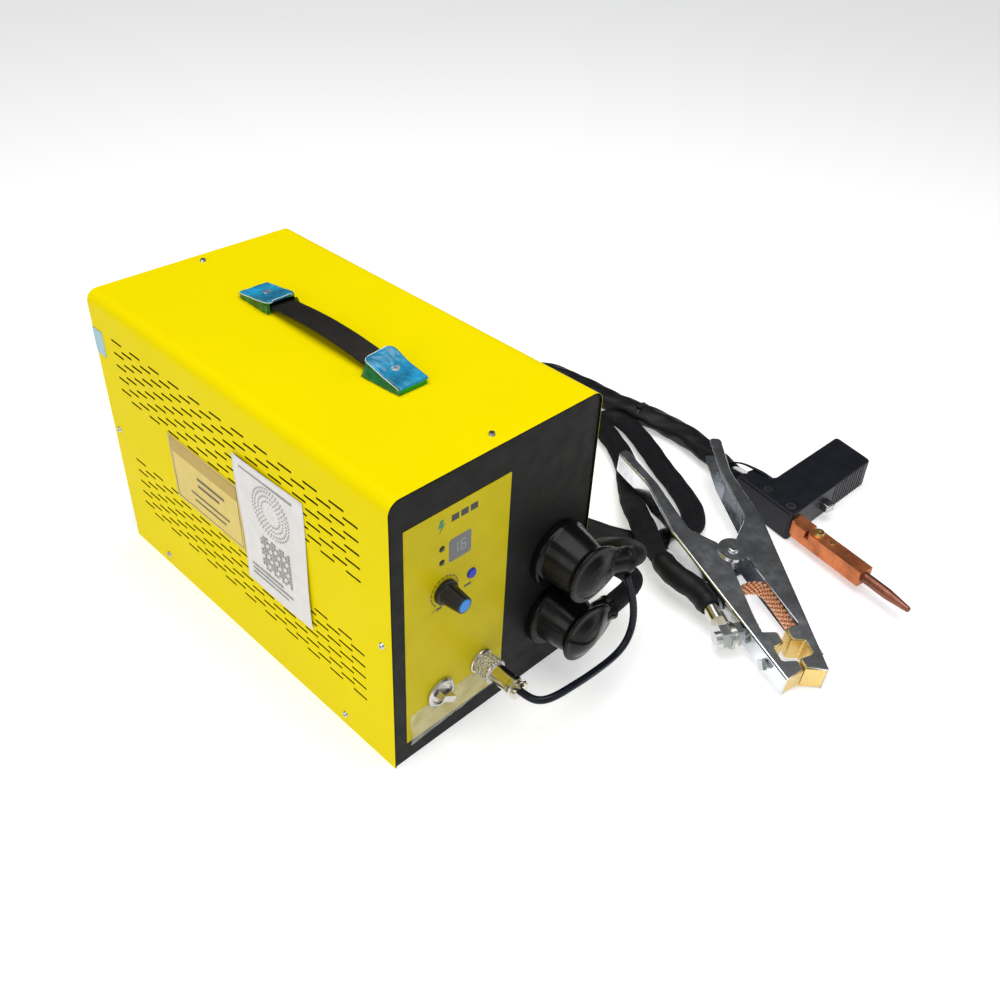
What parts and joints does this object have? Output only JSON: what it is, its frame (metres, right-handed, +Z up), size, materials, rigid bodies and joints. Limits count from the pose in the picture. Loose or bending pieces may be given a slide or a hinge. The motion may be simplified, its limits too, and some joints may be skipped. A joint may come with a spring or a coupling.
{
  "type": "spot welder",
  "caption": "Handheld capacitor spot welder: upright yellow case with dial and display, electrode gun and spring earth clamp on heavy cables.",
  "frame": {"origin": "middle of the case's footprint, on the surface that it stands on", "axes": "+Z up, -Y out of the front panel, +X to the right seen from the front"},
  "size_m": [0.6046, 0.5597, 0.2604],
  "materials": {
    "yellow_paint": "satin",
    "charcoal_paint": "matte",
    "zinc_steel": "polished",
    "dark_steel": "satin",
    "nickel": "polished",
    "brass": "polished",
    "copper": "polished",
    "aluminium": "satin",
    "black_plastic": "satin",
    "blue_plastic": "satin",
    "clear_plastic": "glossy",
    "label_film": "satin",
    "rubber": "glossy",
    "cable_sleeve": "matte",
    "circuit_board": "satin",
    "cell_wrap": "satin"
  },
  "bodies": {
    "welder": {"cover_shell": "yellow_paint", "base_plate": "yellow_paint", "front_panel": "charcoal_paint", "rear_panel": "charcoal_paint", "cover_screws": "dark_steel", "fan_frame": "black_plastic", "fan_guard": "zinc_steel", "power_inlet": "black_plastic", "control_label": "label_film", "display_window": "clear_plastic", "display_module": "black_plastic", "status_lamps": "clear_plastic", "potentiometer": "dark_steel", "button_switch": "black_plastic", "switch_bezel": "black_plastic", "switch_body": "black_plastic", "aviation_socket": "nickel", "aviation_plug": "nickel", "plug_clamp": "nickel", "terminal_insulators": "black_plastic", "output_terminals": "copper", "upper_boot": "rubber", "lower_boot": "rubber", "terminal_lugs": "copper", "handle_cap_front": "black_plastic", "handle_cap_rear": "black_plastic", "handle_screws": "zinc_steel", "capacitor_bank": "cell_wrap", "switch_heatsink": "aluminium", "control_board": "circuit_board", "charger_module": "aluminium", "clamp_fixed_half": "zinc_steel", "clamp_fixed_jaw": "brass", "clamp_bolts": "zinc_steel", "clamp_cable_lug": "copper", "clamp_rivet": "zinc_steel", "clamp_spring": "zinc_steel", "clamp_braid": "copper", "gun_lower_shell": "black_plastic", "gun_upper_shell": "black_plastic", "gun_screws": "dark_steel", "copper_bar": "copper", "electrode_holder": "copper", "electrode_pin": "copper", "bar_screws": "brass", "trigger_switch": "black_plastic", "control_lead": "cable_sleeve", "clamp_cable": "cable_sleeve", "gun_cable": "cable_sleeve"},
    "energy_dial": {"energy_knob": "black_plastic", "knob_cap": "blue_plastic"},
    "mode_key": {"mode_button": "black_plastic"},
    "selector": {"switch_lever": "black_plastic"},
    "plug_ring": {"coupling_ring": "nickel"},
    "fan_wheel": {"fan_rotor": "black_plastic"},
    "carry_strap": {"handle_strap": "black_plastic"},
    "clamp_lever": {"clamp_moving_half": "zinc_steel", "clamp_moving_jaw": "brass", "clamp_jaw_bolt": "zinc_steel"},
    "trigger": {"gun_trigger": "zinc_steel"}
  },
  "joints": [
    {"name": "dial_turn", "type": "hinge", "parent": "welder", "child": "energy_dial", "pos_m": [-0.0517, -0.185, 0.15], "axis": [0, 1, 0], "range_deg": [0, 300]},
    {"name": "mode_press", "type": "slide", "parent": "welder", "child": "mode_key", "axis": [0, 1, 0], "range_m": [0, 0.0008], "stiffness_N_per_m": 400, "springref_m": -0.0005},
    {"name": "selector_turn", "type": "hinge", "parent": "welder", "child": "selector", "pos_m": [-0.055, -0.185, 0.051], "axis": [0, 1, 0], "range_deg": [0, 90]},
    {"name": "plug_ring_turn", "type": "hinge", "parent": "welder", "child": "plug_ring", "pos_m": [-0.014, -0.185, 0.055], "axis": [0, -1, 0], "continuous": true},
    {"name": "fan_spin", "type": "hinge", "parent": "welder", "child": "fan_wheel", "pos_m": [0, 0.17, 0.15], "axis": [0, 1, 0], "continuous": true},
    {"name": "strap_lift", "type": "slide", "parent": "welder", "child": "carry_strap", "axis": [0, 0, 1], "range_m": [0, 0.002], "stiffness_N_per_m": 1500, "springref_m": -0.0002},
    {"name": "clamp_open", "type": "hinge", "parent": "welder", "child": "clamp_lever", "pos_m": [0.2601, -0.2308, 0.0378], "axis": [-0.0428, -0.0759, 0.9962], "range_deg": [0, 25], "stiffness_Nm_per_rad": 2, "springref_deg": -20.05, "deforming": ["clamp_spring", "clamp_braid"]},
    {"name": "trigger_pull", "type": "slide", "parent": "welder", "child": "trigger", "axis": [0.2079, 0.9781, 0], "range_m": [0, 0.0015], "stiffness_N_per_m": 300, "springref_m": -0.001}
  ]
}
